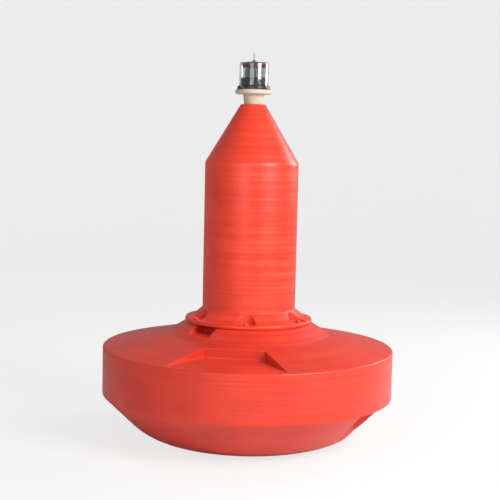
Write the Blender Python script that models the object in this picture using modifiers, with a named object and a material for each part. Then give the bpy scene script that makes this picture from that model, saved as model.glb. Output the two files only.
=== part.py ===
"""Navigation buoy: a foam-filled disc float, a bolted-on tower body and a marine lantern.

Metres, +Z up. The origin is the centre of the float's flat bottom, and the deck pockets
face -Y and +Y. An azimuth is measured in degrees from -Y towards +X.
"""

import math

import bmesh
import bpy
from mathutils import Matrix, Vector

COLLECTION_NAME = "navigation_buoy"
CUTTER_COLLECTION_NAME = "navigation_buoy_cutters"

# Fits between pieces
SEAT_GAP = 0.0003
SOCKET_CLEARANCE = 0.0004

# Float: a drum wall, a shallow deck above it and a cone below it
FLOAT_RADIUS = 0.750
UNDERSIDE_HEIGHT = 0.229
WALL_HEIGHT = 0.245
DECK_RISE = 0.069
UNDERSIDE_CORNER_RADIUS = 0.513
UNDERSIDE_ROUNDING = 0.320
WALL_EDGE_ROUNDING = 0.010

# Collar: the raised cone in the middle of the deck that the tower is bolted to
COLLAR_BASE_RADIUS = 0.420
COLLAR_TOP_RADIUS = 0.318
COLLAR_HEIGHT = 0.064
COLLAR_BASE_ROUNDING = 0.012
COLLAR_TOP_ROUNDING = 0.005

# Deck pockets: a wedge cut into the deck at the front and the back
DECK_POCKET_AZIMUTHS = (0.0, 180.0)
DECK_POCKET_BACK_DISTANCE = 0.456
DECK_POCKET_BACK_HALF_WIDTH = 0.150
DECK_POCKET_FLARE = math.radians(32.0)
DECK_POCKET_FLOOR_RISE = 0.010
DECK_POCKET_ROUNDING = 0.010

# Keel pockets: the same wedge cut upward into the cone below the wall
KEEL_POCKET_AZIMUTHS = (74.0, 254.0)
KEEL_POCKET_BACK_DISTANCE = 0.540
KEEL_POCKET_BACK_HALF_WIDTH = 0.160
KEEL_POCKET_FLARE = math.radians(24.0)
KEEL_POCKET_ROOF_DROP = 0.012

# Collar slots: open-fronted slots that run in under the tower's flange
COLLAR_SLOT_AZIMUTHS = (-33.0, 147.0)
COLLAR_SLOT_WIDTH = 0.135
COLLAR_SLOT_BACK_DISTANCE = 0.255
COLLAR_SLOT_DEPTH = 0.040

# Mooring recess in the flat bottom, with a steel plate and a lug with a shackle hole
MOORING_RECESS_RADIUS = 0.125
MOORING_RECESS_DEPTH = 0.110
MOORING_PLATE_RADIUS = 0.110
MOORING_PLATE_THICKNESS = 0.012
MOORING_PLATE_ROUNDING = 0.001
MOORING_LUG_THICKNESS = 0.020
MOORING_LUG_RADIUS = 0.038
MOORING_LUG_FLOOR_CLEARANCE = 0.012
MOORING_HOLE_RADIUS = 0.018

# Tower: a flange with six bolt recesses, a flared skirt, a tall drum and a cone
TOWER_RADIUS = 0.240
TOWER_FLANGE_RADIUS = 0.328
TOWER_FLANGE_RIM = 0.018
TOWER_FLANGE_RISE = 0.014
TOWER_SKIRT_FOOT_RADIUS = 0.280
TOWER_SKIRT_HEIGHT = 0.037
TOWER_DRUM_HEIGHT = 0.747
TOWER_CONE_HEIGHT = 0.297
TOWER_TOP_RADIUS = 0.063
TOWER_FLANGE_ROUNDING = 0.007
TOWER_SHOULDER_ROUNDING = 0.030
TOWER_TOP_ROUNDING = 0.010
TOWER_SOCKET_DEPTH = 0.060

# Bolt recesses in the skirt, down to the flange
BOLT_RECESS_COUNT = 6
BOLT_RECESS_PHASE = 6.0
BOLT_RECESS_PITCH_RADIUS = 0.291
BOLT_RECESS_RADIUS = 0.049

# Neck: a moulded pipe stub with a round flange that carries the lantern
NECK_FOOT_RADIUS = 0.047
NECK_HEAD_RADIUS = 0.053
NECK_HEIGHT = 0.050
NECK_FLANGE_RADIUS = 0.094
NECK_FLANGE_THICKNESS = 0.025
NECK_FLANGE_ROUNDING = 0.011

# Lantern
LANTERN_BASE_RADIUS = 0.084
LANTERN_BASE_THICKNESS = 0.015
LANTERN_LUG_COUNT = 4
LANTERN_LUG_PHASE = 53.0
LANTERN_LUG_PITCH_RADIUS = 0.080
LANTERN_LUG_RADIUS = 0.013
LANTERN_LUG_THICKNESS = 0.012
COVER_RADIUS = 0.0735
COVER_WALL = 0.004
COVER_HEIGHT = 0.120
COVER_CROWN_RISE = 0.007
COVER_ROUNDING = 0.008
BATTERY_CASE_HEIGHT = 0.042
BATTERY_CASE_SIDE_GAP = 0.003
BATTERY_CASE_ROUNDING = 0.003
LIGHT_COLUMN_RADIUS = 0.034
LIGHT_RING_OUTER_RADIUS = 0.064
LIGHT_RING_INNER_RADIUS = 0.050
LIGHT_RING_BORE_CLEARANCE = 0.0006
LIGHT_RING_HEIGHT = 0.022
COLUMN_TOP_GAP = 0.0005

# Bird spike on the crown of the cover
SPIKE_BOSS_RADIUS = 0.009
SPIKE_BOSS_HEIGHT = 0.005
SPIKE_RADIUS = 0.0034
SPIKE_LENGTH = 0.034

# Smoothness
FLOAT_STEPS = 80
TOWER_STEPS = 72
NECK_STEPS = 48
LANTERN_STEPS = 48
SMALL_STEPS = 32
CORNER_STEPS = 4
LONG_CORNER_STEPS = 8
SMOOTH_ANGLE = math.radians(35.0)
CUT_OVERRUN = 0.050
MERGE_DISTANCE = 0.00002

# Heights worked out from the sizes above
WALL_TOP = UNDERSIDE_HEIGHT + WALL_HEIGHT
DECK_TOP = WALL_TOP + DECK_RISE
COLLAR_TOP = DECK_TOP + COLLAR_HEIGHT
TOWER_BOTTOM = COLLAR_TOP + SEAT_GAP
TOWER_RIM_TOP = TOWER_BOTTOM + TOWER_FLANGE_RIM
TOWER_FLANGE_TOP = TOWER_RIM_TOP + TOWER_FLANGE_RISE
TOWER_DRUM_BOTTOM = TOWER_FLANGE_TOP + TOWER_SKIRT_HEIGHT
TOWER_SHOULDER = TOWER_DRUM_BOTTOM + TOWER_DRUM_HEIGHT
TOWER_TOP = TOWER_SHOULDER + TOWER_CONE_HEIGHT
NECK_TOP = TOWER_TOP + NECK_HEIGHT
NECK_FLANGE_TOP = NECK_TOP + NECK_FLANGE_THICKNESS
LANTERN_BASE_BOTTOM = NECK_FLANGE_TOP + SEAT_GAP
LANTERN_BASE_TOP = LANTERN_BASE_BOTTOM + LANTERN_BASE_THICKNESS
COVER_BOTTOM = LANTERN_BASE_TOP + SEAT_GAP
COVER_SHOULDER = COVER_BOTTOM + COVER_HEIGHT
COVER_TOP = COVER_SHOULDER + COVER_CROWN_RISE
CASE_BOTTOM = LANTERN_BASE_TOP + SEAT_GAP
CASE_TOP = CASE_BOTTOM + BATTERY_CASE_HEIGHT
COLUMN_BOTTOM = CASE_TOP + SEAT_GAP
COLUMN_TOP = COVER_SHOULDER - COVER_WALL - COLUMN_TOP_GAP
SPIKE_BOTTOM = COVER_TOP + SEAT_GAP


def clear_scene():
    """Removes every object that the scene starts with."""
    for scene_object in list(bpy.data.objects):
        bpy.data.objects.remove(scene_object, do_unlink=True)


def new_collection(name, is_helper=False):
    """Returns a new collection linked to the scene, left out of renders if it is a helper."""
    collection = bpy.data.collections.new(name)
    collection.hide_render = is_helper
    bpy.context.scene.collection.children.link(collection)
    return collection


def new_material(name, colour, roughness, metallic=0.0, alpha=1.0):
    """Returns a Principled material with one plain colour."""
    material = bpy.data.materials.new(name)
    material.use_nodes = True
    shader = material.node_tree.nodes["Principled BSDF"]
    shader.inputs["Base Color"].default_value = (*colour, 1.0)
    shader.inputs["Roughness"].default_value = roughness
    shader.inputs["Metallic"].default_value = metallic
    shader.inputs["Alpha"].default_value = alpha
    material.diffuse_color = (*colour, alpha)
    return material


def rounded_outline(corners):
    """Returns the outline's points, with an arc at each corner that has a rounding.

    corners: (radius, height, rounding, arc steps) for each corner, in order.
    """
    points = []
    last = len(corners) - 1
    for index, (radius, height, rounding, steps) in enumerate(corners):
        corner = Vector((radius, height))
        if rounding == 0.0 or index in (0, last):
            points.append(corner)
            continue
        before = (Vector(corners[index - 1][:2]) - corner).normalized()
        after = (Vector(corners[index + 1][:2]) - corner).normalized()
        half_angle = before.angle(after) / 2.0
        centre = corner + (before + after).normalized() * rounding / math.sin(half_angle)
        reach = rounding / math.tan(half_angle)
        start = corner + before * reach - centre
        turn = start.angle_signed(corner + after * reach - centre)
        for step in range(steps + 1):
            arc = start.copy()
            arc.rotate(Matrix.Rotation(-turn * step / steps, 2))
            points.append(centre + arc)
    return points


def add_object(name, mesh, material, collection):
    """Returns a new object of the mesh in the collection."""
    new_object = bpy.data.objects.new(name, mesh)
    if material:
        mesh.materials.append(material)
    collection.objects.link(new_object)
    return new_object


def turned_object(name, corners, steps, material, collection):
    """Returns a turned solid: a Screw modifier spins the rounded outline round the Z axis."""
    points = rounded_outline(corners)
    mesh = bpy.data.meshes.new(name)
    edges = [(index, index + 1) for index in range(len(points) - 1)]
    mesh.from_pydata([(point.x, 0.0, point.y) for point in points], edges, [])
    turned = add_object(name, mesh, material, collection)
    screw = turned.modifiers.new("Turn", "SCREW")
    screw.axis = "Z"
    screw.angle = math.tau
    screw.steps = steps
    screw.render_steps = steps
    screw.use_merge_vertices = True
    screw.merge_threshold = MERGE_DISTANCE
    screw.use_smooth_shade = True
    return turned


def ring_of(outline_corners):
    """Returns the outline closed on itself, for a turned ring with a bore."""
    return outline_corners + [outline_corners[0]]


def prism_object(name, plan, bottom, top, material, collection):
    """Returns an upright prism over a plan of (x, y) points, counter-clockwise from above."""
    shape = bmesh.new()
    base = shape.faces.new([shape.verts.new((x, y, bottom)) for x, y in plan])
    raised = bmesh.ops.extrude_face_region(shape, geom=[base])["geom"]
    moved = [item for item in raised if isinstance(item, bmesh.types.BMVert)]
    bmesh.ops.translate(shape, verts=moved, vec=(0.0, 0.0, top - bottom))
    bmesh.ops.recalc_face_normals(shape, faces=shape.faces)
    mesh = bpy.data.meshes.new(name)
    shape.to_mesh(mesh)
    shape.free()
    return add_object(name, mesh, material, collection)


def cylinder_object(name, radius, bottom, top, steps, material, collection):
    """Returns an upright cylinder on the Z axis."""
    shape = bmesh.new()
    bmesh.ops.create_cone(
        shape, cap_ends=True, segments=steps, radius1=radius, radius2=radius, depth=top - bottom
    )
    bmesh.ops.translate(shape, verts=shape.verts, vec=(0.0, 0.0, (top + bottom) / 2.0))
    mesh = bpy.data.meshes.new(name)
    shape.to_mesh(mesh)
    shape.free()
    return add_object(name, mesh, material, collection)


def place_at_azimuth(placed, azimuth, distance=0.0):
    """Turns an object that was made facing -Y to the azimuth, at a distance from the axis."""
    angle = math.radians(azimuth)
    placed.rotation_euler.z = angle
    placed.location.x = distance * math.sin(angle)
    placed.location.y = -distance * math.cos(angle)


def use_as_cutter(cutter, target, operation="DIFFERENCE"):
    """Adds an exact Boolean to the target, and sets the cutter's display for a helper."""
    cutter.hide_render = True
    cutter.display_type = "WIRE"
    boolean = target.modifiers.new(cutter.name, "BOOLEAN")
    boolean.operation = operation
    boolean.object = cutter
    boolean.solver = "EXACT"


def smooth_by_angle(shaded):
    """Shades a mesh smooth, apart from edges over the smooth angle."""
    shaded.data.shade_smooth()
    shaded.data.set_sharp_from_angle(angle=SMOOTH_ANGLE)


def wedge_plan(back_distance, back_half_width, flare):
    """Returns the plan of a pocket that faces -Y and widens outward past the wall."""
    front_distance = FLOAT_RADIUS + CUT_OVERRUN
    front_half_width = back_half_width + (front_distance - back_distance) * math.tan(flare)
    return [
        (-front_half_width, -front_distance),
        (front_half_width, -front_distance),
        (back_half_width, -back_distance),
        (-back_half_width, -back_distance),
    ]


def lean_floor(cutter, back_distance, edge_height, back_height, level):
    """Moves the cutter's points at a level onto the sloping floor between two heights."""
    slope = (back_height - edge_height) / (FLOAT_RADIUS - back_distance)
    for vertex in cutter.data.vertices:
        if abs(vertex.co.z - level) < MERGE_DISTANCE:
            vertex.co.z = edge_height + slope * (FLOAT_RADIUS + vertex.co.y)


def cut_deck_pockets(float_body, cutters):
    """Cuts the wedge-shaped pockets whose floors run out to the top edge of the wall."""
    plan = wedge_plan(DECK_POCKET_BACK_DISTANCE, DECK_POCKET_BACK_HALF_WIDTH, DECK_POCKET_FLARE)
    for number, azimuth in enumerate(DECK_POCKET_AZIMUTHS, 1):
        name = f"deck_pocket_cutter_{number}"
        cutter = prism_object(name, plan, WALL_TOP, COLLAR_TOP, None, cutters)
        floor_back = WALL_TOP + DECK_POCKET_FLOOR_RISE
        lean_floor(cutter, DECK_POCKET_BACK_DISTANCE, WALL_TOP, floor_back, WALL_TOP)
        place_at_azimuth(cutter, azimuth)
        use_as_cutter(cutter, float_body)


def cut_keel_pockets(float_body, cutters):
    """Cuts the pockets under the wall, open below and at the side."""
    plan = wedge_plan(KEEL_POCKET_BACK_DISTANCE, KEEL_POCKET_BACK_HALF_WIDTH, KEEL_POCKET_FLARE)
    for number, azimuth in enumerate(KEEL_POCKET_AZIMUTHS, 1):
        name = f"keel_pocket_cutter_{number}"
        cutter = prism_object(name, plan, -CUT_OVERRUN, UNDERSIDE_HEIGHT, None, cutters)
        roof_back = UNDERSIDE_HEIGHT - KEEL_POCKET_ROOF_DROP
        lean_floor(cutter, KEEL_POCKET_BACK_DISTANCE, UNDERSIDE_HEIGHT, roof_back, UNDERSIDE_HEIGHT)
        place_at_azimuth(cutter, azimuth)
        use_as_cutter(cutter, float_body)


def cut_collar_slots(float_body, cutters):
    """Cuts the slots that run in under the tower's flange."""
    half_width = COLLAR_SLOT_WIDTH / 2.0
    front = COLLAR_BASE_RADIUS + CUT_OVERRUN
    plan = [
        (-half_width, -front),
        (half_width, -front),
        (half_width, -COLLAR_SLOT_BACK_DISTANCE),
        (-half_width, -COLLAR_SLOT_BACK_DISTANCE),
    ]
    for number, azimuth in enumerate(COLLAR_SLOT_AZIMUTHS, 1):
        name = f"collar_slot_cutter_{number}"
        floor = COLLAR_TOP - COLLAR_SLOT_DEPTH
        cutter = prism_object(name, plan, floor, COLLAR_TOP + CUT_OVERRUN, None, cutters)
        place_at_azimuth(cutter, azimuth)
        use_as_cutter(cutter, float_body)


def make_float_body(parts, cutters):
    """Makes the disc float with its deck, collar, pockets and mooring recess."""
    material = new_material("float_red", (0.72, 0.035, 0.012), 0.42)
    corners = [
        (0.0, COLLAR_TOP, 0.0, 1),
        (COLLAR_TOP_RADIUS, COLLAR_TOP, COLLAR_TOP_ROUNDING, 2),
        (COLLAR_BASE_RADIUS, DECK_TOP, COLLAR_BASE_ROUNDING, 2),
        (FLOAT_RADIUS, WALL_TOP, WALL_EDGE_ROUNDING, CORNER_STEPS),
        (FLOAT_RADIUS, UNDERSIDE_HEIGHT, WALL_EDGE_ROUNDING, 3),
        (UNDERSIDE_CORNER_RADIUS, 0.0, UNDERSIDE_ROUNDING, LONG_CORNER_STEPS),
        (MOORING_RECESS_RADIUS, 0.0, 0.0, 1),
        (MOORING_RECESS_RADIUS, MOORING_RECESS_DEPTH, 0.0, 1),
        (0.0, MOORING_RECESS_DEPTH, 0.0, 1),
    ]
    float_body = turned_object("float_body", corners, FLOAT_STEPS, material, parts)
    cut_deck_pockets(float_body, cutters)
    cut_keel_pockets(float_body, cutters)
    cut_collar_slots(float_body, cutters)
    return float_body


def make_mooring_plate(parts):
    """Makes the steel plate against the roof of the mooring recess."""
    material = new_material("galvanised_steel", (0.52, 0.54, 0.55), 0.45, 0.9)
    top = MOORING_RECESS_DEPTH - SEAT_GAP
    bottom = top - MOORING_PLATE_THICKNESS
    corners = [
        (0.0, top, 0.0, 1),
        (MOORING_PLATE_RADIUS, top, MOORING_PLATE_ROUNDING, 1),
        (MOORING_PLATE_RADIUS, bottom, MOORING_PLATE_ROUNDING, 1),
        (0.0, bottom, 0.0, 1),
    ]
    return turned_object("mooring_plate", corners, NECK_STEPS, material, parts)


def make_mooring_lug(parts, cutters):
    """Makes the round-ended lug that stands down from the plate, with its shackle hole."""
    material = new_material("galvanised_lug", (0.50, 0.52, 0.53), 0.48, 0.9)
    plate_bottom = MOORING_RECESS_DEPTH - SEAT_GAP - MOORING_PLATE_THICKNESS
    top = plate_bottom - SEAT_GAP
    hole_height = MOORING_LUG_FLOOR_CLEARANCE + MOORING_LUG_RADIUS
    outline = [(MOORING_LUG_RADIUS, top), (-MOORING_LUG_RADIUS, top)]
    for step in range(SMALL_STEPS // 2 + 1):
        angle = math.pi + math.pi * step / (SMALL_STEPS // 2)
        y = MOORING_LUG_RADIUS * math.cos(angle)
        z = hole_height + MOORING_LUG_RADIUS * math.sin(angle)
        outline.append((y, z))
    half = MOORING_LUG_THICKNESS / 2.0
    lug = prism_object("mooring_lug", outline, -half, half, material, parts)
    lug.data.transform(Matrix(((0, 0, 1, 0), (1, 0, 0, 0), (0, 1, 0, 0), (0, 0, 0, 1))))
    hole = cylinder_object(
        "mooring_hole_cutter", MOORING_HOLE_RADIUS, -CUT_OVERRUN, CUT_OVERRUN, SMALL_STEPS, None, cutters
    )
    hole.rotation_euler.y = math.radians(90.0)
    hole.location.z = hole_height
    use_as_cutter(hole, lug)
    return lug


def make_tower_body(parts, cutters):
    """Makes the tower with its flange, flared skirt, drum, cone and the neck's socket."""
    material = new_material("tower_red", (0.76, 0.040, 0.014), 0.40)
    socket_radius = NECK_FOOT_RADIUS + SOCKET_CLEARANCE
    corners = [
        (0.0, TOWER_TOP - TOWER_SOCKET_DEPTH, 0.0, 1),
        (socket_radius, TOWER_TOP - TOWER_SOCKET_DEPTH, 0.0, 1),
        (socket_radius, TOWER_TOP, 0.0, 1),
        (TOWER_TOP_RADIUS, TOWER_TOP, TOWER_TOP_ROUNDING, 3),
        (TOWER_RADIUS, TOWER_SHOULDER, TOWER_SHOULDER_ROUNDING, 3),
        (TOWER_RADIUS, TOWER_DRUM_BOTTOM, 0.0, 1),
        (TOWER_SKIRT_FOOT_RADIUS, TOWER_FLANGE_TOP, 0.0, 1),
        (TOWER_FLANGE_RADIUS, TOWER_RIM_TOP, TOWER_FLANGE_ROUNDING, 3),
        (TOWER_FLANGE_RADIUS, TOWER_BOTTOM, TOWER_FLANGE_ROUNDING, 3),
        (0.0, TOWER_BOTTOM, 0.0, 1),
    ]
    tower_body = turned_object("tower_body", corners, TOWER_STEPS, material, parts)
    for number in range(BOLT_RECESS_COUNT):
        cutter = cylinder_object(
            f"bolt_recess_cutter_{number + 1}",
            BOLT_RECESS_RADIUS,
            TOWER_RIM_TOP,
            TOWER_DRUM_BOTTOM + CUT_OVERRUN,
            SMALL_STEPS,
            None,
            cutters,
        )
        azimuth = BOLT_RECESS_PHASE + number * 360.0 / BOLT_RECESS_COUNT
        place_at_azimuth(cutter, azimuth, BOLT_RECESS_PITCH_RADIUS)
        use_as_cutter(cutter, tower_body)
    return tower_body


def make_neck(parts):
    """Makes the neck pipe, glued into the tower's socket, in one moulding with its flange."""
    material = new_material("neck_beige", (0.60, 0.50, 0.36), 0.50)
    bottom = TOWER_TOP - TOWER_SOCKET_DEPTH + SEAT_GAP
    corners = [
        (0.0, NECK_FLANGE_TOP, 0.0, 1),
        (NECK_FLANGE_RADIUS, NECK_FLANGE_TOP, NECK_FLANGE_ROUNDING, CORNER_STEPS),
        (NECK_FLANGE_RADIUS, NECK_TOP, NECK_FLANGE_ROUNDING, CORNER_STEPS),
        (NECK_HEAD_RADIUS, NECK_TOP, 0.002, 2),
        (NECK_FOOT_RADIUS, TOWER_TOP, 0.0, 1),
        (NECK_FOOT_RADIUS, bottom, 0.0, 1),
        (0.0, bottom, 0.0, 1),
    ]
    return turned_object("neck_flange_pipe", corners, NECK_STEPS, material, parts)


def make_lantern_base(parts, cutters):
    """Makes the black base plate, with four screw lugs on its edge."""
    material = new_material("lantern_black", (0.012, 0.012, 0.014), 0.45)
    corners = [
        (0.0, LANTERN_BASE_TOP, 0.0, 1),
        (LANTERN_BASE_RADIUS, LANTERN_BASE_TOP, 0.002, 2),
        (LANTERN_BASE_RADIUS, LANTERN_BASE_BOTTOM, 0.001, 1),
        (0.0, LANTERN_BASE_BOTTOM, 0.0, 1),
    ]
    base = turned_object("lantern_base", corners, LANTERN_STEPS, material, parts)
    for number in range(LANTERN_LUG_COUNT):
        lug = cylinder_object(
            f"lantern_lug_shape_{number + 1}",
            LANTERN_LUG_RADIUS,
            LANTERN_BASE_BOTTOM,
            LANTERN_BASE_BOTTOM + LANTERN_LUG_THICKNESS,
            SMALL_STEPS // 2,
            None,
            cutters,
        )
        azimuth = LANTERN_LUG_PHASE + number * 360.0 / LANTERN_LUG_COUNT
        place_at_azimuth(lug, azimuth, LANTERN_LUG_PITCH_RADIUS)
        use_as_cutter(lug, base, "UNION")
    return base


def make_battery_case(parts):
    """Makes the black battery case that fills the lower third of the cover."""
    material = new_material("battery_black", (0.010, 0.010, 0.012), 0.35)
    radius = COVER_RADIUS - COVER_WALL - BATTERY_CASE_SIDE_GAP
    corners = [
        (0.0, CASE_TOP, 0.0, 1),
        (radius, CASE_TOP, BATTERY_CASE_ROUNDING, 3),
        (radius, CASE_BOTTOM, 0.001, 1),
        (0.0, CASE_BOTTOM, 0.0, 1),
    ]
    return turned_object("battery_case", corners, LANTERN_STEPS, material, parts)


def make_light_column(parts):
    """Makes the grey column that carries the light ring inside the cover."""
    material = new_material("column_grey", (0.28, 0.28, 0.27), 0.40)
    ring_bottom = COLUMN_TOP - LIGHT_RING_HEIGHT
    seat_radius = LIGHT_RING_INNER_RADIUS - LIGHT_RING_BORE_CLEARANCE
    corners = [
        (0.0, COLUMN_TOP, 0.0, 1),
        (seat_radius, COLUMN_TOP, 0.0, 1),
        (seat_radius, ring_bottom, 0.0, 1),
        (LIGHT_COLUMN_RADIUS, ring_bottom, 0.0, 1),
        (LIGHT_COLUMN_RADIUS, COLUMN_BOTTOM, 0.0, 1),
        (0.0, COLUMN_BOTTOM, 0.0, 1),
    ]
    return turned_object("light_column", corners, LANTERN_STEPS, material, parts)


def make_light_ring(parts):
    """Makes the red lens ring round the head of the column."""
    material = new_material("light_ring_red", (0.55, 0.02, 0.02), 0.25)
    bottom = COLUMN_TOP - LIGHT_RING_HEIGHT
    foot_radius = (LIGHT_RING_OUTER_RADIUS + LIGHT_RING_INNER_RADIUS) / 2.0
    corners = [
        (LIGHT_RING_INNER_RADIUS, COLUMN_TOP, 0.0, 1),
        (LIGHT_RING_OUTER_RADIUS, COLUMN_TOP, 0.0, 1),
        (foot_radius, bottom, 0.0, 1),
        (LIGHT_RING_INNER_RADIUS, bottom, 0.0, 1),
    ]
    return turned_object("light_ring", ring_of(corners), LANTERN_STEPS, material, parts)


def make_lantern_cover(parts):
    """Makes the clear cover, open below, with a slightly crowned top."""
    material = new_material("cover_clear", (0.90, 0.92, 0.93), 0.06, 0.0, 0.30)
    inner_radius = COVER_RADIUS - COVER_WALL
    corners = [
        (0.0, COVER_TOP - COVER_WALL, 0.0, 1),
        (inner_radius, COVER_SHOULDER - COVER_WALL, COVER_ROUNDING - COVER_WALL, 2),
        (inner_radius, COVER_BOTTOM, 0.0, 1),
        (COVER_RADIUS, COVER_BOTTOM, 0.0, 1),
        (COVER_RADIUS, COVER_SHOULDER, COVER_ROUNDING, 3),
        (0.0, COVER_TOP, 0.0, 1),
    ]
    outline = list(reversed(corners))
    return turned_object("lantern_cover", outline, LANTERN_STEPS, material, parts)


def make_bird_spike(parts):
    """Makes the bird spike and its boss on the crown of the cover."""
    material = new_material("spike_steel", (0.30, 0.29, 0.30), 0.35, 0.8)
    boss_top = SPIKE_BOTTOM + SPIKE_BOSS_HEIGHT
    tip = boss_top + SPIKE_LENGTH
    corners = [
        (0.0, tip, 0.0, 1),
        (SPIKE_RADIUS, tip, 0.0015, 2),
        (SPIKE_RADIUS, boss_top, 0.0, 1),
        (SPIKE_BOSS_RADIUS, boss_top, 0.001, 2),
        (SPIKE_BOSS_RADIUS, SPIKE_BOTTOM, 0.0, 1),
        (0.0, SPIKE_BOTTOM, 0.0, 1),
    ]
    return turned_object("bird_spike", corners, SMALL_STEPS // 2, material, parts)


def main():
    """Builds the buoy from the bottom up."""
    clear_scene()
    parts = new_collection(COLLECTION_NAME)
    cutters = new_collection(CUTTER_COLLECTION_NAME, is_helper=True)
    make_float_body(parts, cutters)
    make_mooring_plate(parts)
    make_mooring_lug(parts, cutters)
    make_tower_body(parts, cutters)
    make_neck(parts)
    make_lantern_base(parts, cutters)
    make_battery_case(parts)
    make_light_column(parts)
    make_light_ring(parts)
    make_lantern_cover(parts)
    make_bird_spike(parts)
    for turned in parts.objects:
        if turned.name == "mooring_lug":
            smooth_by_angle(turned)


main()
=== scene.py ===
"""Looks of a navigation buoy: a red moulded disc float and tower, a beige neck and a clear marine lantern.

Metres, +Z up. An azimuth is measured in degrees from -Y towards +X.
"""

import logging
import math
from dataclasses import dataclass
from enum import Enum

import bmesh
import bpy
from mathutils import Matrix, Vector


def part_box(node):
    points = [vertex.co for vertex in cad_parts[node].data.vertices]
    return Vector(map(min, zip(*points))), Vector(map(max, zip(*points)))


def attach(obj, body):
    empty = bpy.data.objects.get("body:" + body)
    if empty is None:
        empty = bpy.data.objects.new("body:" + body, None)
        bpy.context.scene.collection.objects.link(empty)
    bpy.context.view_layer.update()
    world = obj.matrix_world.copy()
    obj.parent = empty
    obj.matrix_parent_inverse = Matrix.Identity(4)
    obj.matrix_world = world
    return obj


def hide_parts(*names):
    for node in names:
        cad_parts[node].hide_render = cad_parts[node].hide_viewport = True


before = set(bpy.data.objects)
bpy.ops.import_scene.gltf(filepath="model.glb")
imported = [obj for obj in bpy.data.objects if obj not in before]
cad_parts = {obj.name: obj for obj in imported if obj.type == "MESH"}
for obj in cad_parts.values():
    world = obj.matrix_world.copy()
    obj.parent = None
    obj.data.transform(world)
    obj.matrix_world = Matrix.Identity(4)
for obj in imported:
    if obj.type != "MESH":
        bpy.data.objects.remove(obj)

LOG = logging.getLogger("navigation_buoy")
BODY = "root"
SMOOTH_ANGLE = math.radians(32.0)
SAME_HEIGHT = 0.0001
MERGE_DISTANCE = 0.00002
RIM_ANGLE = math.radians(40.0)
HEX_SIDES = 6

Colour = tuple[float, float, float]
Corner = tuple[float, float, float]


class Side(Enum):
    """Which way a wedge-shaped pocket opens out of the float."""

    DECK = "deck"
    KEEL = "keel"


# ---------------------------------------------------------------- shapes


def rounded_outline(corners: list[Corner], arc_steps: int = 8) -> list[Vector]:
    """Rounds the corners of an outline.

    Args:
        corners: (radius, height, rounding) of each corner, in order.
        arc_steps: straight pieces in each rounded corner.

    Returns:
        The outline's points as (radius, height).
    """
    points: list[Vector] = []
    last = len(corners) - 1
    for index, (radius, height, rounding) in enumerate(corners):
        corner = Vector((radius, height))
        if rounding == 0.0 or index in (0, last):
            points.append(corner)
            continue
        before = (Vector(corners[index - 1][:2]) - corner).normalized()
        after = (Vector(corners[index + 1][:2]) - corner).normalized()
        half_angle = before.angle(after) / 2.0
        centre = corner + (before + after).normalized() * rounding / math.sin(half_angle)
        reach = rounding / math.tan(half_angle)
        start = corner + before * reach - centre
        turn = start.angle_signed(corner + after * reach - centre)
        for step in range(arc_steps + 1):
            arc = start.copy()
            arc.rotate(Matrix.Rotation(-turn * step / arc_steps, 2))
            points.append(centre + arc)
    return points


def add_piece(name: str, shape: bmesh.types.BMesh) -> bpy.types.Object:
    """Makes an object of a mesh under construction.

    Args:
        name: the new object's name.
        shape: the mesh, which is freed.

    Returns:
        The object, shaded smooth apart from its sharp edges.
    """
    bmesh.ops.recalc_face_normals(shape, faces=shape.faces)
    mesh = bpy.data.meshes.new(name)
    shape.to_mesh(mesh)
    shape.free()
    mesh.shade_smooth()
    mesh.set_sharp_from_angle(angle=SMOOTH_ANGLE)
    piece = bpy.data.objects.new(name, mesh)
    bpy.context.scene.collection.objects.link(piece)
    return piece


def turned_piece(name: str, corners: list[Corner], steps: int = 128) -> bpy.types.Object:
    """Spins a rounded outline round the Z axis.

    Args:
        name: the new object's name.
        corners: (radius, height, rounding) of each corner. A ring ends with its first corner again.
        steps: sides of the round shape.

    Returns:
        The turned object.
    """
    shape = bmesh.new()
    points = rounded_outline(corners)
    verts = [shape.verts.new((point.x, 0.0, point.y)) for point in points]
    edges = [shape.edges.new(pair) for pair in zip(verts, verts[1:])]
    bmesh.ops.spin(
        shape, geom=verts + edges, axis=(0.0, 0.0, 1.0), cent=(0.0, 0.0, 0.0), angle=math.tau, steps=steps
    )
    bmesh.ops.remove_doubles(shape, verts=shape.verts, dist=MERGE_DISTANCE)
    return add_piece(name, shape)


def rod_piece(
    name: str, radius: float, bottom: float, top: float, sides: int = 48, bevel: float = 0.0
) -> bpy.types.Object:
    """Makes an upright round or many-sided rod on the Z axis.

    Args:
        name: the new object's name.
        radius: distance from the axis to a corner.
        bottom: height of its foot.
        top: height of its head.
        sides: number of sides.
        bevel: width of the rounding of its edges.

    Returns:
        The rod.
    """
    shape = bmesh.new()
    bmesh.ops.create_cone(
        shape, cap_ends=True, segments=sides, radius1=radius, radius2=radius, depth=top - bottom
    )
    bmesh.ops.translate(shape, verts=shape.verts, vec=(0.0, 0.0, (top + bottom) / 2.0))
    if bevel:
        rims = [edge for edge in shape.edges if edge.calc_face_angle(0.0) > RIM_ANGLE]
        bmesh.ops.bevel(shape, geom=rims, offset=bevel, segments=3, profile=0.5, affect="EDGES")
    return add_piece(name, shape)


def prism_piece(name: str, plan: list[tuple[float, float]], bottom: float, top: float) -> bpy.types.Object:
    """Makes an upright prism.

    Args:
        name: the new object's name.
        plan: (x, y) corners, counter-clockwise from above.
        bottom: height of its lower face.
        top: height of its upper face.

    Returns:
        The prism.
    """
    shape = bmesh.new()
    base = shape.faces.new([shape.verts.new((x, y, bottom)) for x, y in plan])
    raised = bmesh.ops.extrude_face_region(shape, geom=[base])["geom"]
    moved = [item for item in raised if isinstance(item, bmesh.types.BMVert)]
    bmesh.ops.translate(shape, verts=moved, vec=(0.0, 0.0, top - bottom))
    return add_piece(name, shape)


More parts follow.
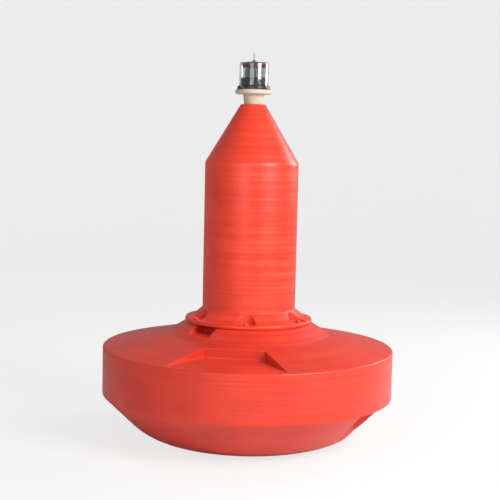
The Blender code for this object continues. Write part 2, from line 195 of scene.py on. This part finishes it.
def place(piece: bpy.types.Object, azimuth: float, distance: float = 0.0) -> None:
    """Turns a piece's mesh to an azimuth and moves it out from the axis.

    Args:
        piece: an object whose mesh faces -Y.
        azimuth: degrees from -Y towards +X.
        distance: how far from the axis it goes.
    """
    turn = Matrix.Rotation(math.radians(azimuth), 4, "Z")
    piece.data.transform(turn @ Matrix.Translation((0.0, -distance, 0.0)))


def cut_away(target: bpy.types.Object, cutters: list[bpy.types.Object]) -> None:
    """Cuts shapes out of a piece and removes the cutters.

    Args:
        target: the piece that is cut.
        cutters: the shapes to take away.
    """
    for cutter in cutters:
        boolean = target.modifiers.new(cutter.name, "BOOLEAN")
        boolean.operation = "DIFFERENCE"
        boolean.solver = "EXACT"
        boolean.object = cutter
    graph = bpy.context.evaluated_depsgraph_get()
    mesh = bpy.data.meshes.new_from_object(target.evaluated_get(graph))
    target.modifiers.clear()
    target.data = mesh
    mesh.shade_smooth()
    mesh.set_sharp_from_angle(angle=SMOOTH_ANGLE)
    for cutter in cutters:
        bpy.data.objects.remove(cutter, do_unlink=True)


def fit(piece: bpy.types.Object, slot: str, material: bpy.types.Material, *nodes: str) -> None:
    """Dresses a piece, lets it ride with the buoy and hides the CAD nodes it stands for.

    Args:
        piece: the finished piece.
        slot: the record's material slot; not used.
        material: the finish.
        nodes: CAD nodes that the piece stands for.
    """
    piece.data.materials.clear()
    piece.data.materials.append(material)
    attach(piece, BODY)
    if nodes:
        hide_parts(*nodes)
    LOG.info("%s: %d faces", piece.name, len(piece.data.polygons))


# ---------------------------------------------------------------- finishes


class NodeSheet:
    """A node tree with short calls for adding and joining its nodes."""

    def __init__(self, tree: bpy.types.NodeTree) -> None:
        """Keeps the tree that the nodes go in."""
        self.tree = tree

    def add(self, kind: str, **settings: object) -> bpy.types.Node:
        """Adds a node.

        Args:
            kind: the node's type.
            settings: its properties.

        Returns:
            The new node.
        """
        node = self.tree.nodes.new(kind)
        for key, value in settings.items():
            setattr(node, key, value)
        return node

    def join(self, start: bpy.types.NodeSocket, end: bpy.types.NodeSocket) -> None:
        """Links an output to an input."""
        self.tree.links.new(start, end)

    def noise(self, stretch: Colour, scale: float, detail: float) -> bpy.types.NodeSocket:
        """Adds a noise in the object's own space.

        Args:
            stretch: how often it repeats along X, Y and Z.
            scale: overall scale.
            detail: octaves.

        Returns:
            The noise value.
        """
        place_node = self.add("ShaderNodeTexCoord")
        mapping = self.add("ShaderNodeMapping")
        mapping.inputs["Scale"].default_value = stretch
        texture = self.add("ShaderNodeTexNoise")
        texture.inputs["Scale"].default_value = scale
        texture.inputs["Detail"].default_value = detail
        self.join(place_node.outputs["Object"], mapping.inputs["Vector"])
        self.join(mapping.outputs["Vector"], texture.inputs["Vector"])
        return texture.outputs[0]

    def remap(
        self, value: bpy.types.NodeSocket, low: float, high: float, to_low: float, to_high: float
    ) -> bpy.types.NodeSocket:
        """Maps a value's range to another range.

        Args:
            value: the value.
            low: start of its range.
            high: end of its range.
            to_low: result at the start.
            to_high: result at the end.

        Returns:
            The mapped value.
        """
        node = self.add("ShaderNodeMapRange")
        self.join(value, node.inputs[0])
        for index, number in enumerate((low, high, to_low, to_high), 1):
            node.inputs[index].default_value = number
        return node.outputs[0]

    def blend(self, factor: bpy.types.NodeSocket, first: object, second: object) -> bpy.types.NodeSocket:
        """Mixes two colours, each a plain colour or a socket.

        Args:
            factor: share of the second colour.
            first: the first colour.
            second: the second colour.

        Returns:
            The mixed colour.
        """
        node = self.add("ShaderNodeMix", data_type="RGBA")
        self.join(factor, node.inputs[0])
        for index, colour in ((6, first), (7, second)):
            if isinstance(colour, tuple):
                node.inputs[index].default_value = (*colour, 1.0)
            else:
                self.join(colour, node.inputs[index])
        return node.outputs[2]


def moulding_marks_and_highlight_group() -> bpy.types.NodeTree:
    """Makes the marks that moulded plastic shares, with a painted highlight along rounded edges.

    Returns:
        A group that gives ring streaks, blotches, an edge mask that is partly rubbed edges and partly a
        painted highlight, and a normal with rounded edges and fine grain.
    """
    group = bpy.data.node_groups.new("Moulding marks and painted highlight", "ShaderNodeTree")
    sheet = NodeSheet(group)
    for name in ("Edge radius", "Grain strength"):
        group.interface.new_socket(name=name, in_out="INPUT", socket_type="NodeSocketFloat")
    for name in ("Streaks", "Blotches", "Edge rub and highlight"):
        group.interface.new_socket(name=name, in_out="OUTPUT", socket_type="NodeSocketFloat")
    group.interface.new_socket(name="Normal", in_out="OUTPUT", socket_type="NodeSocketVector")
    inlet = sheet.add("NodeGroupInput")
    outlet = sheet.add("NodeGroupOutput")
    streaks = sheet.remap(sheet.noise((0.9, 0.9, 55.0), 1.6, 4.0), 0.35, 0.65, 0.0, 1.0)
    blotches = sheet.remap(sheet.noise((1.0, 1.0, 1.6), 4.2, 5.0), 0.35, 0.68, 0.0, 1.0)
    bevel = sheet.add("ShaderNodeBevel", samples=6)
    sheet.join(inlet.outputs["Edge radius"], bevel.inputs["Radius"])
    surface = sheet.add("ShaderNodeNewGeometry")
    turned = sheet.add("ShaderNodeVectorMath", operation="DOT_PRODUCT")
    sheet.join(bevel.outputs["Normal"], turned.inputs[0])
    sheet.join(surface.outputs["Normal"], turned.inputs[1])
    # Edge mask: rounded edges get the lighter colour, partly rubbed edges and partly a painted highlight
    # along them.
    edge = sheet.remap(turned.outputs["Value"], 0.995, 0.90, 0.0, 1.0)
    scuffs = sheet.remap(sheet.noise((1.0, 1.0, 1.0), 26.0, 6.0), 0.38, 0.62, 0.25, 1.0)
    rub_and_highlight_mask = sheet.add("ShaderNodeMath", operation="MULTIPLY")
    sheet.join(edge, rub_and_highlight_mask.inputs[0])
    sheet.join(scuffs, rub_and_highlight_mask.inputs[1])
    grain = sheet.noise((1.0, 1.0, 1.0), 260.0, 3.0)
    ripple = sheet.noise((1.0, 1.0, 10.0), 3.0, 2.0)
    height = sheet.add("ShaderNodeMath", operation="MULTIPLY_ADD")
    height.inputs[1].default_value = 6.0
    sheet.join(ripple, height.inputs[0])
    sheet.join(grain, height.inputs[2])
    bump = sheet.add("ShaderNodeBump")
    bump.inputs["Distance"].default_value = 0.0012
    sheet.join(inlet.outputs["Grain strength"], bump.inputs["Strength"])
    sheet.join(height.outputs[0], bump.inputs["Height"])
    sheet.join(bevel.outputs["Normal"], bump.inputs["Normal"])
    for name, socket in (("Streaks", streaks), ("Blotches", blotches), ("Edge rub and highlight", rub_and_highlight_mask.outputs[0])):
        sheet.join(socket, outlet.inputs[name])
    sheet.join(bump.outputs["Normal"], outlet.inputs["Normal"])
    return group


@dataclass(frozen=True)
class MouldedPlastic:
    """Moulded plastic with ring streaks, blotches, lighter rounded edges (partly rubbing, partly a painted
    highlight) and a fine grain.
    """

    name: str
    colour: Colour
    deep: Colour
    rub_and_highlight_colour: Colour
    roughness: float = 0.36
    edge_radius: float = 0.006
    grain: float = 0.16
    gloss: float = 0.5

    def make(self, marks: bpy.types.NodeTree) -> bpy.types.Material:
        """Makes the material.

        Args:
            marks: the shared moulding marks, with the painted edge highlight.

        Returns:
            The finish.
        """
        material = bpy.data.materials.new(self.name)
        material.use_nodes = True
        sheet = NodeSheet(material.node_tree)
        shader = material.node_tree.nodes["Principled BSDF"]
        group = sheet.add("ShaderNodeGroup", node_tree=marks)
        group.inputs["Edge radius"].default_value = self.edge_radius
        group.inputs["Grain strength"].default_value = self.grain
        streaky = sheet.blend(
            sheet.remap(group.outputs["Streaks"], 0.0, 1.0, 0.0, 0.30), self.colour, self.rub_and_highlight_colour
        )
        blotched = sheet.blend(
            sheet.remap(group.outputs["Blotches"], 0.0, 1.0, 0.45, 0.0), streaky, self.deep
        )
        # Lightens rounded edges: partly rubbed edges, partly a painted highlight along the edges.
        rub_and_highlight_colour = sheet.blend(
            sheet.remap(group.outputs["Edge rub and highlight"], 0.0, 1.0, 0.0, 0.55), blotched, self.rub_and_highlight_colour
        )
        sheet.join(rub_and_highlight_colour, shader.inputs["Base Color"])
        rough = sheet.remap(
            group.outputs["Streaks"], 0.0, 1.0, self.roughness - 0.05, self.roughness + 0.07
        )
        sheet.join(rough, shader.inputs["Roughness"])
        sheet.join(group.outputs["Normal"], shader.inputs["Normal"])
        shader.inputs["Specular IOR Level"].default_value = self.gloss
        return material


@dataclass(frozen=True)
class WeatheredSteel:
    """Galvanised or stainless steel with a mottled, slightly rough face."""

    name: str
    bright: Colour
    dull: Colour
    roughness: float

    def make(self) -> bpy.types.Material:
        """Makes the material and returns it."""
        material = bpy.data.materials.new(self.name)
        material.use_nodes = True
        sheet = NodeSheet(material.node_tree)
        shader = material.node_tree.nodes["Principled BSDF"]
        spangle = sheet.remap(sheet.noise((1.0, 1.0, 1.0), 90.0, 5.0), 0.35, 0.65, 0.0, 1.0)
        sheet.join(sheet.blend(spangle, self.dull, self.bright), shader.inputs["Base Color"])
        sheet.join(
            sheet.remap(spangle, 0.0, 1.0, self.roughness + 0.12, self.roughness), shader.inputs["Roughness"]
        )
        bump = sheet.add("ShaderNodeBump")
        bump.inputs["Strength"].default_value = 0.12
        bump.inputs["Distance"].default_value = 0.0008
        sheet.join(spangle, bump.inputs["Height"])
        sheet.join(bump.outputs["Normal"], shader.inputs["Normal"])
        shader.inputs["Metallic"].default_value = 0.9
        return material


@dataclass(frozen=True)
class ClearPlastic:
    """Clear or tinted plastic with faint smears."""

    name: str
    tint: Colour
    ior: float = 1.49

    def make(self) -> bpy.types.Material:
        """Makes the material and returns it."""
        material = bpy.data.materials.new(self.name)
        material.use_nodes = True
        sheet = NodeSheet(material.node_tree)
        shader = material.node_tree.nodes["Principled BSDF"]
        smears = sheet.noise((6.0, 6.0, 0.8), 9.0, 4.0)
        sheet.join(sheet.remap(smears, 0.4, 0.7, 0.02, 0.10), shader.inputs["Roughness"])
        shader.inputs["Base Color"].default_value = (*self.tint, 1.0)
        shader.inputs["Transmission Weight"].default_value = 1.0
        shader.inputs["IOR"].default_value = self.ior
        return material


class Finishes:
    """Every finish of the buoy, made once."""

    def __init__(self) -> None:
        """Makes the materials."""
        marks = moulding_marks_and_highlight_group()
        # The third colour of each plastic is a lighter tone for the streaks and for the rounded edges, where
        # it is partly rubbing and partly a painted highlight.
        self.float_red = MouldedPlastic(
            "Red float plastic", (0.70, 0.030, 0.010), (0.46, 0.016, 0.007), (0.86, 0.10, 0.045), 0.38
        ).make(marks)
        self.tower_red = MouldedPlastic(
            "Red tower plastic", (0.78, 0.040, 0.014), (0.58, 0.022, 0.009), (0.90, 0.13, 0.06), 0.36
        ).make(marks)
        self.neck_beige = MouldedPlastic(
            "Beige neck plastic", (0.56, 0.46, 0.34), (0.36, 0.29, 0.21), (0.70, 0.62, 0.50), 0.42, 0.002
        ).make(marks)
        self.black = MouldedPlastic(
            "Black lantern plastic",
            (0.014, 0.013, 0.014),
            (0.007, 0.007, 0.008),
            (0.06, 0.055, 0.05),
            edge_radius=0.001,
        ).make(marks)
        self.grey = MouldedPlastic(
            "Grey column plastic", (0.30, 0.31, 0.31), (0.20, 0.20, 0.20), (0.45, 0.46, 0.46), 0.34, 0.001
        ).make(marks)
        self.galvanised = WeatheredSteel(
            "Galvanised steel", (0.56, 0.58, 0.59), (0.36, 0.38, 0.39), 0.42
        ).make()
        self.spike = WeatheredSteel("Spike steel", (0.30, 0.28, 0.28), (0.16, 0.15, 0.15), 0.32).make()
        self.clear = ClearPlastic("Clear cover plastic", (0.96, 0.98, 0.99)).make()
        self.red_lens = ClearPlastic("Red lens plastic", (0.75, 0.05, 0.05)).make()


# ---------------------------------------------------------------- sub-assemblies


@dataclass(frozen=True)
class WedgePocket:
    """Sizes of a wedge-shaped pocket, from its back wall outward."""

    back: float
    half_width: float
    flare: float
    rise: float


@dataclass
class DiscFloat:
    """The foam-filled disc float with its deck, collar, pockets and mooring recess."""

    radius: float = 0.750
    wall_bottom: float = 0.229
    wall_top: float = 0.474
    deck_top: float = 0.543
    underside_corner: float = 0.513
    underside_rounding: float = 0.320
    collar_base: float = 0.420
    collar_top_radius: float = 0.318
    collar_base_rounding: float = 0.022
    collar_top_rounding: float = 0.006
    wall_rounding: float = 0.010
    recess_radius: float = 0.125
    recess_depth: float = 0.110
    recess_rounding: float = 0.004
    deck_pocket: WedgePocket = WedgePocket(0.456, 0.150, 32.0, 0.010)
    deck_azimuths: tuple[int, ...] = (0, 180)
    keel_pocket: WedgePocket = WedgePocket(0.540, 0.160, 24.0, -0.012)
    keel_azimuths: tuple[int, ...] = (74, 254)
    slot_half_width: float = 0.0675
    slot_back: float = 0.255
    slot_depth: float = 0.040
    slot_azimuths: tuple[int, ...] = (-33, 147)
    overrun: float = 0.050
    steps: int = 240

    def wedge(self, name: str, side: Side, azimuth: float) -> bpy.types.Object:
        """Makes the cutter of one wedge-shaped pocket.

        Args:
            name: the cutter's name.
            side: whether it is cut into the deck or into the keel cone.
            azimuth: where it faces.

        Returns:
            The cutter.
        """
        if side is Side.DECK:
            pocket = self.deck_pocket
            level = low = self.wall_top
            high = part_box("float_body")[1].z
        else:
            pocket = self.keel_pocket
            level = high = self.wall_bottom
            low = -self.overrun
        back, half = pocket.back, pocket.half_width
        front = self.radius + self.overrun
        wide = half + (front - back) * math.tan(math.radians(pocket.flare))
        plan = [(-wide, -front), (wide, -front), (half, -back), (-half, -back)]
        cutter = prism_piece(name, plan, low, high)
        for vertex in cutter.data.vertices:
            if abs(vertex.co.z - level) < SAME_HEIGHT:
                vertex.co.z = level + pocket.rise * (self.radius + vertex.co.y) / (self.radius - back)
        place(cutter, azimuth)
        return cutter

    def slot(self, azimuth: float, top: float) -> bpy.types.Object:
        """Makes the cutter of one slot in the collar.

        Args:
            azimuth: where it faces.
            top: height of the collar's top.

        Returns:
            The cutter.
        """
        half, back, front = self.slot_half_width, self.slot_back, self.collar_base + self.overrun
        plan = [(-half, -front), (half, -front), (half, -back), (-half, -back)]
        cutter = prism_piece(f"slot_{azimuth}", plan, top - self.slot_depth, top + self.overrun)
        place(cutter, azimuth)
        return cutter

    def build(self, finishes: Finishes) -> None:
        """Builds the float.

        Args:
            finishes: the buoy's finishes.
        """
        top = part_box("float_body")[1].z
        body = turned_piece(
            "disc_float",
            [
                (0.0, top, 0.0),
                (self.collar_top_radius, top, self.collar_top_rounding),
                (self.collar_base, self.deck_top, self.collar_base_rounding),
                (self.radius, self.wall_top, self.wall_rounding),
                (self.radius, self.wall_bottom, self.wall_rounding),
                (self.underside_corner, 0.0, self.underside_rounding),
                (self.recess_radius, 0.0, self.recess_rounding),
                (self.recess_radius, self.recess_depth, self.recess_rounding),
                (0.0, self.recess_depth, 0.0),
            ],
            self.steps,
        )
        cutters = [self.wedge(f"deck_wedge_{azimuth}", Side.DECK, azimuth) for azimuth in self.deck_azimuths]
        cutters += [self.wedge(f"keel_wedge_{azimuth}", Side.KEEL, azimuth) for azimuth in self.keel_azimuths]
        cutters += [self.slot(azimuth, top) for azimuth in self.slot_azimuths]
        cut_away(body, cutters)
        fit(body, "float_plastic", finishes.float_red, "float_body")


@dataclass
class MooringSteel:
    """The steel plate and lug in the mooring recess, with the plate's bolts."""

    plate_rounding: float = 0.002
    bolt_count: int = 4
    bolt_phase: float = 45.0
    bolt_pitch: float = 0.085
    bolt_radius: float = 0.010
    bolt_height: float = 0.007
    bolt_rounding: float = 0.001

    def build(self, finishes: Finishes) -> None:
        """Builds the mooring steel.

        Args:
            finishes: the buoy's finishes.
        """
        low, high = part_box("mooring_plate")
        plate = turned_piece(
            "mooring_plate_turned",
            [
                (0.0, high.z, 0.0),
                (high.x, high.z, self.plate_rounding),
                (high.x, low.z, self.plate_rounding),
                (0.0, low.z, 0.0),
            ],
        )
        fit(plate, "galvanised_steel", finishes.galvanised, "mooring_plate")
        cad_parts["mooring_lug"].material_slots[0].material = finishes.galvanised
        for number in range(self.bolt_count):
            foot = low.z - self.bolt_height
            name = f"mooring_bolt_{number + 1}"
            head = rod_piece(name, self.bolt_radius, foot, low.z, HEX_SIDES, self.bolt_rounding)
            place(head, self.bolt_phase + 360.0 * number / self.bolt_count, self.bolt_pitch)
            fit(head, "galvanised_steel", finishes.galvanised)


@dataclass
class Tower:
    """The tower with its flange, flared skirt, drum, cone and flange bolts."""

    radius: float = 0.240
    flange_radius: float = 0.328
    rim: float = 0.018
    rise: float = 0.014
    skirt_foot: float = 0.280
    skirt: float = 0.037
    drum: float = 0.747
    top_radius: float = 0.063
    socket_depth: float = 0.060
    socket_radius: float = 0.0474
    recess_pitch: float = 0.291
    recess_radius: float = 0.049
    recess_phase: float = 6.0
    recess_count: int = 6
    recess_sides: int = 64
    recess_overrun: float = 0.050
    socket_rounding: float = 0.001
    top_rounding: float = 0.010
    shoulder_rounding: float = 0.030
    drum_foot_rounding: float = 0.006
    skirt_rounding: float = 0.010
    flange_rounding: float = 0.007
    bolt_outset: float = 0.008
    washer_radius: float = 0.019
    washer_height: float = 0.003
    washer_rounding: float = 0.0008
    bolt_radius: float = 0.0125
    bolt_height: float = 0.008
    bolt_rounding: float = 0.001
    steps: int = 192

    def build(self, finishes: Finishes) -> None:
        """Builds the tower and its bolts.

        Args:
            finishes: the buoy's finishes.
        """
        low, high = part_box("tower_body")
        rim_top = low.z + self.rim
        flange_top = rim_top + self.rise
        drum_bottom = flange_top + self.skirt
        shoulder = drum_bottom + self.drum
        body = turned_piece(
            "tower_shell",
            [
                (0.0, high.z - self.socket_depth, 0.0),
                (self.socket_radius, high.z - self.socket_depth, 0.0),
                (self.socket_radius, high.z, self.socket_rounding),
                (self.top_radius, high.z, self.top_rounding),
                (self.radius, shoulder, self.shoulder_rounding),
                (self.radius, drum_bottom, self.drum_foot_rounding),
                (self.skirt_foot, flange_top, self.skirt_rounding),
                (self.flange_radius, rim_top, self.flange_rounding),
                (self.flange_radius, low.z, self.flange_rounding),
                (0.0, low.z, 0.0),
            ],
            self.steps,
        )
        step = 360.0 / self.recess_count
        azimuths = [self.recess_phase + step * number for number in range(self.recess_count)]
        recess_top = drum_bottom + self.recess_overrun
        cutters = []
        for number, azimuth in enumerate(azimuths, 1):
            cutter = rod_piece(f"recess_{number}", self.recess_radius, rim_top, recess_top, self.recess_sides)
            place(cutter, azimuth, self.recess_pitch)
            cutters.append(cutter)
        cut_away(body, cutters)
        fit(body, "tower_plastic", finishes.tower_red, "tower_body")
        washer_top = rim_top + self.washer_height
        bolt_top = washer_top + self.bolt_height
        for number, azimuth in enumerate(azimuths, 1):
            washer = rod_piece(
                f"flange_washer_{number}",
                self.washer_radius,
                rim_top,
                washer_top,
                bevel=self.washer_rounding,
            )
            head = rod_piece(
                f"flange_bolt_{number}",
                self.bolt_radius,
                washer_top,
                bolt_top,
                HEX_SIDES,
                self.bolt_rounding,
            )
            for piece in (washer, head):
                place(piece, azimuth, self.recess_pitch + self.bolt_outset)
                fit(piece, "tower_plastic", finishes.tower_red)


@dataclass
class Neck:
    """The beige pipe stub and its round flange."""

    foot_radius: float = 0.047
    head_radius: float = 0.053
    flange: float = 0.025
    rounding: float = 0.011
    head_rounding: float = 0.006

    def build(self, finishes: Finishes) -> None:
        """Builds the neck.

        Args:
            finishes: the buoy's finishes.
        """
        low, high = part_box("neck_flange_pipe")
        under = high.z - self.flange
        tower_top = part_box("tower_body")[1].z
        neck = turned_piece(
            "neck_moulding",
            [
                (0.0, high.z, 0.0),
                (high.x, high.z, self.rounding),
                (high.x, under, self.rounding),
                (self.head_radius, under, self.head_rounding),
                (self.foot_radius, tower_top, 0.0),
                (self.foot_radius, low.z, 0.0),
                (0.0, low.z, 0.0),
            ],
        )
        fit(neck, "neck_plastic", finishes.neck_beige, "neck_flange_pipe")


@dataclass
class Lantern:
    """The marine lantern: base, battery case, finned column, lens ring, clear cover and bird spike."""

    wall: float = 0.004
    crown: float = 0.007
    base_radius: float = 0.084
    base_rounding: float = 0.003
    small_rounding: float = 0.001
    lug_count: int = 4
    lug_phase: float = 53.0
    lug_pitch: float = 0.080
    lug_radius: float = 0.013
    lug_height: float = 0.012
    lug_sides: int = 40
    lug_rounding: float = 0.002
    screw_radius: float = 0.0045
    screw_height: float = 0.003
    screw_rounding: float = 0.0006
    screw_outset: float = 0.0075
    case_rounding: float = 0.003
    column_radius: float = 0.034
    column_neck: float = 0.003
    column_rounding: float = 0.002
    fin_count: int = 16
    fin_half_width: float = 0.0012
    fin_depth: float = 0.012
    fin_foot_gap: float = 0.0005
    fin_head_gap: float = 0.004
    ring_clearance: float = 0.0006
    cover_rounding: float = 0.008
    cover_steps: int = 160
    seal_gap: float = 0.0004
    seal_width: float = 0.0036
    seal_height: float = 0.004
    spike_radius: float = 0.0034
    spike_rounding: float = 0.0015
    boss_height: float = 0.005
    spike_steps: int = 32

    def build(self, finishes: Finishes) -> None:
        """Builds the lantern from its base up.

        Args:
            finishes: the buoy's finishes.
        """
        self.build_base(finishes)
        self.build_inside(finishes)
        self.build_cover(finishes)

    def build_base(self, finishes: Finishes) -> None:
        """Builds the black base plate, its lugs and their screws.

        Args:
            finishes: the buoy's finishes.
        """
        low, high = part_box("lantern_base")
        radius = self.base_radius
        base = turned_piece(
            "lantern_base_plate",
            [
                (0.0, high.z, 0.0),
                (radius, high.z, self.base_rounding),
                (radius, low.z, self.small_rounding),
                (0.0, low.z, 0.0),
            ],
        )
        fit(base, "lantern_black", finishes.black, "lantern_base")
        lug_top = low.z + self.lug_height
        for number in range(self.lug_count):
            azimuth = self.lug_phase + 360.0 * number / self.lug_count
            lug = rod_piece(
                f"lantern_lug_{number + 1}",
                self.lug_radius,
                low.z,
                lug_top,
                self.lug_sides,
                self.lug_rounding,
            )
            screw = rod_piece(
                f"lantern_screw_{number + 1}",
                self.screw_radius,
                lug_top,
                lug_top + self.screw_height,
                HEX_SIDES,
                self.screw_rounding,
            )
            place(lug, azimuth, self.lug_pitch)
            place(screw, azimuth, self.lug_pitch + self.screw_outset)
            fit(lug, "lantern_black", finishes.black)
            fit(screw, "galvanised_steel", finishes.galvanised)

    def build_inside(self, finishes: Finishes) -> None:
        """Builds the battery case, the finned column and the red lens ring.

        Args:
            finishes: the buoy's finishes.
        """
        low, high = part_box("battery_case")
        case = turned_piece(
            "battery_case_moulding",
            [
                (0.0, high.z, 0.0),
                (high.x, high.z, self.case_rounding),
                (high.x, low.z, self.small_rounding),
                (0.0, low.z, 0.0),
            ],
        )
        fit(case, "lantern_black", finishes.black, "battery_case")
        foot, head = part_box("light_column")
        ring_low, ring_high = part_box("light_ring")
        column = turned_piece(
            "column_moulding",
            [
                (0.0, head.z, 0.0),
                (head.x, head.z, self.small_rounding),
                (head.x, ring_low.z, self.small_rounding),
                (self.column_radius, ring_low.z - self.column_neck, self.column_rounding),
                (self.column_radius, foot.z, 0.0),
                (0.0, foot.z, 0.0),
            ],
        )
        fit(column, "column_grey", finishes.grey, "light_column")
        half, depth = self.fin_half_width, self.fin_depth
        plan = [(-half, -depth), (half, -depth), (half, 0.0), (-half, 0.0)]
        fin_foot = foot.z + self.fin_foot_gap
        fin_head = ring_low.z - self.fin_head_gap
        for number in range(self.fin_count):
            fin = prism_piece(f"column_fin_{number + 1}", plan, fin_foot, fin_head)
            place(fin, 360.0 * number / self.fin_count, self.column_radius)
            fit(fin, "column_grey", finishes.grey)
        inner = head.x + self.ring_clearance
        ring = turned_piece(
            "lens_ring",
            [
                (inner, ring_high.z, 0.0),
                (ring_high.x, ring_high.z, self.small_rounding),
                ((ring_high.x + inner) / 2.0, ring_low.z, self.small_rounding),
                (inner, ring_low.z, self.small_rounding),
                (inner, ring_high.z, 0.0),
            ],
        )
        fit(ring, "light_red", finishes.red_lens, "light_ring")

    def build_cover(self, finishes: Finishes) -> None:
        """Builds the clear cover, its seal and the bird spike.

        Args:
            finishes: the buoy's finishes.
        """
        low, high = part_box("lantern_cover")
        shoulder = high.z - self.crown
        inner = high.x - self.wall
        cover = turned_piece(
            "clear_cover",
            [
                (0.0, high.z, 0.0),
                (high.x, shoulder, self.cover_rounding),
                (high.x, low.z, 0.0),
                (inner, low.z, 0.0),
                (inner, shoulder - self.wall, self.cover_rounding - self.wall),
                (0.0, high.z - self.wall, 0.0),
            ],
            self.cover_steps,
        )
        fit(cover, "clear_cover", finishes.clear, "lantern_cover")
        seal_inner = high.x + self.seal_gap
        seal_outer = seal_inner + self.seal_width
        seal_top = low.z + self.seal_height
        seal = turned_piece(
            "cover_seal",
            [
                (seal_inner, low.z, 0.0),
                (seal_inner, seal_top, self.small_rounding),
                (seal_outer, seal_top, self.small_rounding),
                (seal_outer, low.z, self.small_rounding),
                (seal_inner, low.z, 0.0),
            ],
        )
        fit(seal, "lantern_black", finishes.black)
        foot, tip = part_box("bird_spike")
        boss_top = foot.z + self.boss_height
        spike = turned_piece(
            "spike_rod",
            [
                (0.0, tip.z, 0.0),
                (self.spike_radius, tip.z, self.spike_rounding),
                (self.spike_radius, boss_top, self.small_rounding),
                (tip.x, boss_top, self.small_rounding),
                (tip.x, foot.z, 0.0),
                (0.0, foot.z, 0.0),
            ],
            self.spike_steps,
        )
        fit(spike, "spike_steel", finishes.spike, "bird_spike")


@dataclass
class Studio:
    """The pale floor with its swept-up rim, the lights and the camera."""

    distance: float = 6.115
    eye_height: float = 1.569
    azimuth: float = 8.3
    pitch: float = 5.57
    roll: float = 1.30
    lens: float = 85.6
    floor_radius: float = 12.0
    floor_sweep: float = 3.0
    rim_height: float = 7.0
    floor_steps: int = 96
    aim_height: float = 0.9
    world_light: float = 0.30
    floor_glow: float = 0.75

    def build(self) -> None:
        """Builds the floor, the lights and the camera."""
        outline = [
            (0.0, 0.0, 0.0),
            (self.floor_radius, 0.0, self.floor_sweep),
            (self.floor_radius, self.rim_height, 0.0),
        ]
        floor = turned_piece("studio_floor", outline, self.floor_steps)
        floor.data.materials.append(self.floor_material())
        floor.data.flip_normals()
        self.add_world()
        self.add_light("key", (3.6, -3.4, 3.4), 2.6, 330.0)
        self.add_light("front", (-1.4, -4.6, 2.4), 2.4, 60.0)
        self.add_light("rim", (3.8, 2.6, 2.6), 1.8, 110.0)
        self.add_camera()

    def floor_material(self) -> bpy.types.Material:
        """Makes the pale floor's material, which keeps the shadow, and returns it."""
        material = bpy.data.materials.new("Studio floor")
        material.use_nodes = True
        sheet = NodeSheet(material.node_tree)
        shader = material.node_tree.nodes["Principled BSDF"]
        shader.inputs["Base Color"].default_value = (0.80, 0.80, 0.80, 1.0)
        shader.inputs["Roughness"].default_value = 0.9
        glow = sheet.add("ShaderNodeEmission")
        path = sheet.add("ShaderNodeLightPath")
        share = sheet.remap(path.outputs["Is Camera Ray"], 0.0, 1.0, 0.0, self.floor_glow)
        mix = sheet.add("ShaderNodeMixShader")
        sheet.join(share, mix.inputs[0])
        sheet.join(shader.outputs[0], mix.inputs[1])
        sheet.join(glow.outputs[0], mix.inputs[2])
        sheet.join(mix.outputs[0], material.node_tree.nodes["Material Output"].inputs["Surface"])
        return material

    def add_world(self) -> None:
        """Lights the scene softly, and shows white behind the buoy."""
        world = bpy.data.worlds.new("Studio")
        world.use_nodes = True
        bpy.context.scene.world = world
        sheet = NodeSheet(world.node_tree)
        back = world.node_tree.nodes["Background"]
        path = sheet.add("ShaderNodeLightPath")
        back.inputs["Color"].default_value = (1.0, 1.0, 1.0, 1.0)
        strength = sheet.remap(path.outputs["Is Camera Ray"], 0.0, 1.0, self.world_light, 1.0)
        sheet.join(strength, back.inputs["Strength"])

    def add_light(self, name: str, spot: Colour, size: float, power: float) -> None:
        """Adds a soft lamp aimed at the middle of the buoy.

        Args:
            name: the lamp's name.
            spot: its place, as seen with the camera at azimuth 0.
            size: its width.
            power: its watts.
        """
        lamp = bpy.data.lights.new(name, "AREA")
        lamp.size = size
        lamp.energy = power
        holder = bpy.data.objects.new(name, lamp)
        at = Matrix.Rotation(math.radians(self.azimuth), 3, "Z") @ Vector(spot)
        holder.location = at
        holder.rotation_euler = (Vector((0.0, 0.0, self.aim_height)) - at).to_track_quat("-Z", "Y").to_euler()
        bpy.context.scene.collection.objects.link(holder)

    def add_camera(self) -> None:
        """Adds the camera and makes it the scene's own."""
        lens = bpy.data.cameras.new("camera")
        lens.lens = self.lens
        camera = bpy.data.objects.new("camera", lens)
        turn = Matrix.Rotation(math.radians(self.azimuth), 4, "Z")
        tilt = Matrix.Rotation(math.radians(90.0 - self.pitch), 4, "X")
        lean = Matrix.Rotation(math.radians(self.roll), 4, "Z")
        camera.matrix_world = turn @ Matrix.Translation((0.0, -self.distance, self.eye_height)) @ tilt @ lean
        bpy.context.scene.collection.objects.link(camera)
        bpy.context.scene.camera = camera
        bpy.context.scene.view_settings.view_transform = "Standard"


def main() -> None:
    """Builds the looks from the bottom up."""
    logging.basicConfig(level=logging.INFO, format="%(name)s %(message)s")
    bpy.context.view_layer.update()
    finishes = Finishes()
    for assembly in (DiscFloat(), MooringSteel(), Tower(), Neck(), Lantern()):
        LOG.info("building %s", type(assembly).__name__)
        assembly.build(finishes)
    Studio().build()


if __name__ == "__main__":
    main()
